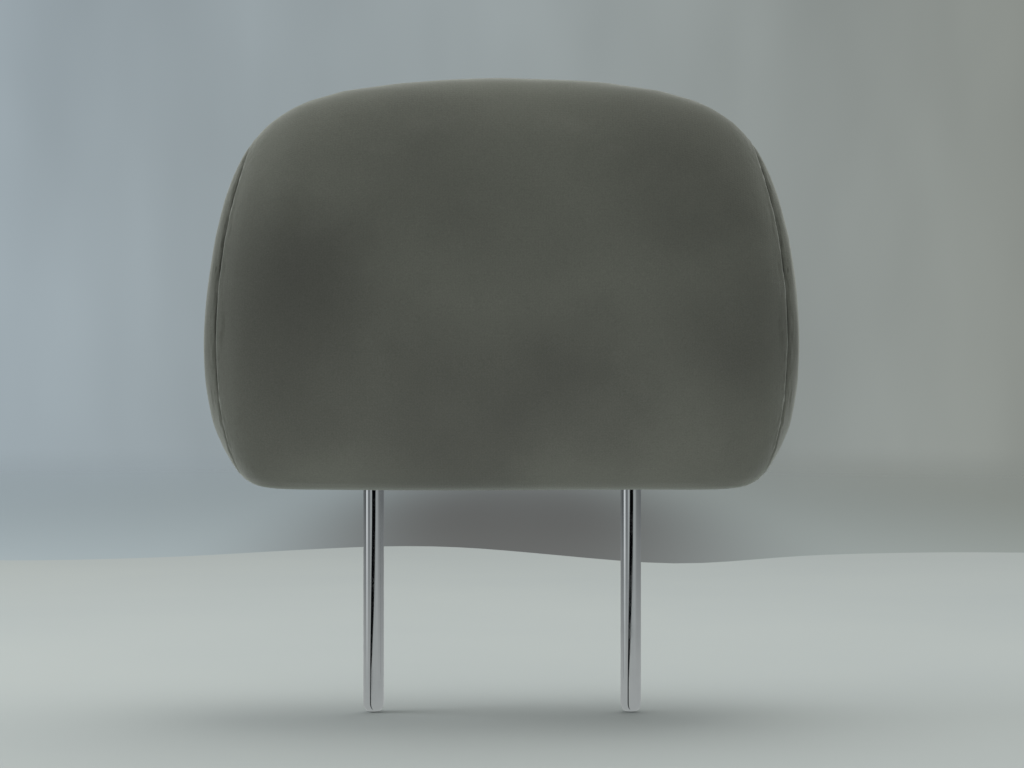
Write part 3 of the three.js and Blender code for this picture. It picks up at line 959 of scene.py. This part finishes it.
shape = bmesh.new()
shape.from_mesh(skin.data)
for side in (-1, 1):
    for corner in shape.verts:
        corner.co.x -= side * seam_half_width(corner.co.z)
    for offset in seam_loops:
        plane = side * offset / 1000
        near = [face for face in shape.faces if abs(face.verts[0].co.x - plane) < loop_search]
        geometry = set(near)
        for face in near:
            geometry.update(face.edges)
            geometry.update(face.verts)
        bmesh.ops.bisect_plane(
            shape,
            geom=list(geometry),
            dist=loop_snap,
            plane_co=(plane, 0, 0),
            plane_no=(1, 0, 0),
            use_snap_center=True,
        )
    for corner in shape.verts:
        corner.co.x += side * seam_half_width(corner.co.z)

shape.faces.index_update()
main_faces = []
side_faces = {-1: [], 1: []}
for face in shape.faces:
    middle = face.calc_center_median()
    if abs(middle.x) < seam_half_width(middle.z):
        main_faces.append(face.index)
    else:
        side_faces[-1 if middle.x < 0 else 1].append(face.index)

shape.normal_update()
lift = []
for corner in shape.verts:
    place = corner.co
    side = math.copysign(1, place.x)
    across = abs(place.x) - seam_half_width(place.z)
    rise = place.z - seam_widest_height
    slope = -rise / (seam_upper_radius if rise > 0 else seam_lower_radius)
    towards = Vector((side, 0, -slope))
    flat = towards - corner.normal * towards.dot(corner.normal)
    gap = across / max(flat.length, seam_least_slope)
    facing = corner.normal
    amount = unevenness * noise.noise(place * unevenness_per_metre)
    amount += edge_fill * (1 - facing.y**2) * min(1, max(0, 1 + 2 * facing.z))
    amount += corner_fill * (2 * facing.x * facing.z) ** 2
    low = math.exp(-(((place.z - low_side_height) / low_side_reach) ** 2))
    amount += low_side_fill * facing.x**2 * low
    inward = 0
    if abs(gap) < seam_influence:
        share = ends_share + (1 - ends_share) * facing.y**2
        pucker = noise.noise(Vector((place.y, place.z, side)) / pucker_pitch)
        crease = pucker_depth * pucker * math.exp(-abs(gap) / (2 * pull_width))
        crease -= pull_depth * math.exp(-abs(gap) / pull_width)
        crease -= groove_depth * math.exp(-((gap / groove_width) ** 2))
        crease += roll_height * math.exp(-(((gap - roll_place) / roll_width) ** 2))
        crease += side_roll_height * math.exp(-(((gap - side_roll_place) / roll_width) ** 2))
        amount += share * crease
        inward = pillow_depth * math.exp(-abs(gap) / pillow_width)
    shift = facing * amount
    shift.y -= facing.y * inward
    if facing.z < faces_down:
        reach = math.hypot(abs(place.x) - half_pitch, place.y) / post_dimple_radius
        shift.z += post_dimple_depth * math.exp(-(reach**4))
    lift.append(shift)
for corner, shift in zip(shape.verts, lift):
    corner.co += shift


def panel(name, indices):
    """A bmesh of the chosen faces of the cover's skin."""
    piece = shape.copy()
    piece.faces.ensure_lookup_table()
    chosen = set(indices)
    others = [face for face in piece.faces if face.index not in chosen]
    bmesh.ops.delete(piece, geom=others, context="FACES")
    return piece


# Cover, its cloth: automotive velour, a short dense pile on a knitted ground. It gives the eye
# a soft olive grey without gloss, paler where the pile is seen from the side, with darker and
# lighter patches where the nap lies another way, and faint courses of the knit under it. Listed
# spots add painted shade across the middle of the front and a painted highlight near the top.
knit_pitch = 0.0013
pile_pitch = 0.0006
nap_patch = 0.0909
nap_drift = 0.08
nap_tone_low = 0.5
nap_tone_high = 0.85
nap_down = "#444540"
nap_up = "#61635B"
# Each spot of painted shade or light: its place, its reach, and how much paler or darker its
# middle is.
painted_light_and_shade_spots = (
    ((-0.095, -0.06, 0.19), 0.08, -0.5),
    ((-0.035, -0.06, 0.148), 0.08, -0.4),
    ((0.028, -0.06, 0.15), 0.07, -0.4),
    ((0.108, -0.05, 0.18), 0.065, -0.35),
    ((0.085, -0.05, 0.245), 0.05, -0.25),
    ((0.09, -0.06, 0.12), 0.04, -0.15),
    ((-0.1, -0.055, 0.132), 0.05, -0.25),
    ((0.01, -0.05, 0.285), 0.075, 0.25),
)

# A wave texture's bands lie 2 pi / 20 apart at a scale of 1.
knit_scale = 2 * math.pi / knit_pitch / 20

velour, tree, output = new_material("knitted_velour")
place = add_node(tree, "TexCoord")
wales = add_node(
    tree,
    "TexWave",
    {"Vector": place.outputs["UV"], "Scale": knit_scale, "Distortion": 0.0},
    bands_direction="X",
)
courses = add_node(
    tree,
    "TexWave",
    {"Vector": place.outputs["UV"], "Scale": knit_scale, "Distortion": 0.0},
    bands_direction="Y",
)
knit = add_node(
    tree, "Math", {0: wales.outputs["Fac"], 1: courses.outputs["Fac"]}, operation="MULTIPLY"
)
pile = add_node(
    tree,
    "TexNoise",
    {"Vector": place.outputs["Object"], "Scale": 1 / pile_pitch, "Detail": 3.0},
)
nap = add_node(
    tree,
    "TexNoise",
    {
        "Vector": place.outputs["Object"],
        "Scale": 1 / nap_patch,
        "Detail": 4.0,
        "Roughness": 0.5,
    },
)
drift = add_node(
    tree,
    "VectorMath",
    {0: nap.outputs["Color"], 1: [nap_drift] * 3, 2: place.outputs["Object"]},
    operation="MULTIPLY_ADD",
)
tone = add_node(
    tree,
    "MapRange",
    {
        "Value": nap.outputs["Fac"],
        "From Min": noise_low,
        "From Max": noise_high,
        "To Min": nap_tone_low,
        "To Max": nap_tone_high,
    },
)
# Painted shade and a painted highlight: each listed spot darkens or lightens the cloth round its
# place.
for spot, reach, change in painted_light_and_shade_spots:
    from_spot = add_node(
        tree,
        "VectorMath",
        {0: drift.outputs["Vector"], 1: [value + nap_drift / 2 for value in spot]},
        operation="DISTANCE",
    )
    patch = add_node(
        tree,
        "MapRange",
        {"Value": from_spot.outputs["Value"], "From Max": reach, "To Min": change, "To Max": 0},
        interpolation_type="SMOOTHERSTEP",
    )
    tone = add_node(tree, "Math", {0: tone.outputs[0], 1: patch.outputs["Result"]})
ground = add_node(
    tree,
    "MixRGB",
    {"Fac": tone.outputs[0], "Color1": linear(nap_down), "Color2": linear(nap_up)},
    use_clamp=True,
)
tips = add_node(
    tree,
    "MapRange",
    {
        "Value": pile.outputs["Fac"],
        "From Min": noise_low,
        "From Max": noise_high,
        "To Min": 0.88,
        "To Max": 1.1,
    },
)
threads = add_node(
    tree,
    "MapRange",
    {"Value": knit.outputs[0], "To Min": 0.98, "To Max": 1.015},
)
grain = add_node(
    tree, "Math", {0: tips.outputs["Result"], 1: threads.outputs["Result"]}, operation="MULTIPLY"
)
colour = add_node(
    tree,
    "MixRGB",
    {"Fac": 1.0, "Color1": ground.outputs["Color"], "Color2": grain.outputs[0]},
    blend_type="MULTIPLY",
)
height = add_node(
    tree, "MixRGB", {"Fac": 0.2, "Color1": pile.outputs["Fac"], "Color2": knit.outputs[0]}
)
relief = add_node(
    tree, "Bump", {"Strength": 0.5, "Distance": 0.00025, "Height": height.outputs["Color"]}
)
cloth = add_node(
    tree,
    "BsdfPrincipled",
    {
        "Base Color": colour.outputs["Color"],
        "Roughness": 0.92,
        "IOR": 1.45,
        "Specular IOR Level": 0.25,
        "Sheen Weight": 0.5,
        "Sheen Roughness": 0.35,
        "Sheen Tint": linear("#CDD2CB"),
        "Normal": relief.outputs["Normal"],
    },
)
tree.links.new(cloth.outputs["BSDF"], output.inputs["Surface"])


# Cover, its three panels: one strip of cloth that wraps the front, the top, the back and the
# underside, and a crowned panel at each side. Each gets a turned-in wall behind its face, and
# the main panel gets the post holes and the slit of the closure.
cloth_wall = 0.0022
post_hole_radius = 0.0073
post_hole_depth = 0.02
slit_half_length = 0.098
slit_centre = 0.0206
slit_half_width = 0.001
slit_half_depth = 0.012
underside = 0.109
uv_sectors = 90


def lay_cloth(mesh, wraps):
    """UVs in metres along the cloth: round the pad on the main panel, flat on the others."""
    points = numpy.array([corner.co[:] for corner in mesh.vertices])
    middle = (points.min(axis=0) + points.max(axis=0)) / 2
    turn = numpy.arctan2(points[:, 2] - middle[2], points[:, 1] - middle[1])
    ordered = numpy.argsort(turn)
    ring = points[ordered][:, 1:]
    bins = numpy.linspace(-math.pi, math.pi, uv_sectors + 1)
    slot = numpy.digitize(turn[ordered], bins)
    sectors = range(1, uv_sectors + 1)
    outline = numpy.array([ring[slot == number].mean(axis=0) for number in sectors])
    steps = numpy.linalg.norm(numpy.diff(outline, axis=0), axis=1)
    travelled = numpy.concatenate([[0], numpy.cumsum(steps)])
    around = numpy.interp(turn, (bins[:-1] + bins[1:]) / 2, travelled)
    across = points[:, 0] if wraps else points[:, 1]
    along = around if wraps else points[:, 2]
    layer = mesh.uv_layers.new(name="cloth")
    corners = numpy.empty(len(mesh.loops), dtype=int)
    mesh.loops.foreach_get("vertex_index", corners)
    layer.data.foreach_set("uv", numpy.column_stack([across, along])[corners].ravel())


def cover_piece(name, indices, node, wraps):
    """One finished panel of the cover."""
    made = finished_object(name, panel(name, indices), velour)
    lay_cloth(made.data, wraps)
    made.data = baked(made, "SOLIDIFY", thickness=cloth_wall, offset=-1, use_even_offset=False)
    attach(made, "root")
    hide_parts(node)
    return made


main_panel = cover_piece("cover_main", main_faces, "cover_main_panel", True)
cover_piece("cover_side_left", side_faces[-1], "cover_side_panel_left", False)
cover_piece("cover_side_right", side_faces[1], "cover_side_panel_right", False)
shape.free()

shape = bmesh.new()
for x in (-half_pitch, half_pitch):
    made = bmesh.ops.create_cone(
        shape,
        cap_ends=True,
        segments=40,
        radius1=post_hole_radius,
        radius2=post_hole_radius,
        depth=post_hole_depth,
    )
    bmesh.ops.translate(shape, vec=(x, 0, underside), verts=made["verts"])
made = bmesh.ops.create_cube(shape, size=2)
cut = (slit_half_length, slit_half_width, slit_half_depth)
bmesh.ops.scale(shape, vec=cut, verts=made["verts"])
bmesh.ops.translate(shape, vec=(0, slit_centre, underside), verts=made["verts"])
cutter = finished_object("cutter", shape, velour, smooth=False)
main_panel.data = baked(main_panel, "BOOLEAN", operation="DIFFERENCE", object=cutter)
bpy.data.objects.remove(cutter)
bpy.data.objects.remove(skin)


# Closure: two extruded strips sewn to the edges of the slit behind the posts. They hook into
# each other inside the cover, and each is held by one row of lockstitches in thick thread.
stitch_pitch = 0.004
stitch_length = 0.0029
stitch_radius = 0.00035
stitch_flatness = 0.7
stitch_setback = 0.0042
stitch_inset = 0.003
strip_line_gap = 0.00056
strip_line_length = 0.083
thread_ply = 0.0004

polypropylene, tree, output = new_material("extruded_polypropylene")
# Extruded strip: nearly black, waxy, with fine lines along the direction of extrusion.
place = add_node(tree, "TexCoord")
along = add_node(
    tree,
    "Mapping",
    {
        "Vector": place.outputs["Object"],
        "Scale": (1 / strip_line_length, 1 / strip_line_gap, 1 / strip_line_gap),
    },
)
lines = add_node(
    tree, "TexNoise", {"Vector": along.outputs["Vector"], "Scale": 1.0, "Detail": 2.0}
)
shade = add_node(
    tree,
    "MixRGB",
    {"Fac": lines.outputs["Fac"], "Color1": linear("#1C1D1E"), "Color2": linear("#272829")},
)
relief = add_node(
    tree, "Bump", {"Strength": 0.4, "Distance": 0.00005, "Height": lines.outputs["Fac"]}
)
plastic = add_node(
    tree,
    "BsdfPrincipled",
    {
        "Base Color": shade.outputs["Color"],
        "Roughness": 0.42,
        "IOR": 1.49,
        "Normal": relief.outputs["Normal"],
    },
)
tree.links.new(plastic.outputs["BSDF"], output.inputs["Surface"])
refinish(["closure_strip_front", "closure_strip_rear"], polypropylene)

thread_stuff, tree, output = new_material("bonded_polyester_thread")
# Bonded thread: a little glossier and paler than the pile that it is sewn through.
place = add_node(tree, "TexCoord")
plies = add_node(
    tree,
    "TexNoise",
    {"Vector": place.outputs["Object"], "Scale": 1 / thread_ply, "Detail": 1.0},
)
shade = add_node(
    tree,
    "MixRGB",
    {"Fac": plies.outputs["Fac"], "Color1": linear("#4A4C46"), "Color2": linear("#62645D")},
)
thread = add_node(
    tree, "BsdfPrincipled", {"Base Color": shade.outputs["Color"], "Roughness": 0.6, "IOR": 1.55}
)
tree.links.new(thread.outputs["BSDF"], output.inputs["Surface"])

shape = bmesh.new()
stitches = int(2 * (slit_half_length - stitch_inset) / stitch_pitch)
for row in (-1, 1):
    y = slit_centre + row * stitch_setback
    for number in range(stitches):
        x = (number - (stitches - 1) / 2) * stitch_pitch
        hit, spot, *_ = main_panel.ray_cast((x, y, underside / 2), (0, 0, 1))
        if not hit:
            continue
        made = bmesh.ops.create_icosphere(shape, subdivisions=1, radius=stitch_radius)["verts"]
        form = (stitch_length / 2 / stitch_radius, 1, stitch_flatness)
        bmesh.ops.scale(shape, vec=form, verts=made)
        bmesh.ops.translate(shape, vec=spot, verts=made)
stitching = finished_object("cover_closure_stitches", shape, thread_stuff)
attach(stitching, "root")


low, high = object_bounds()
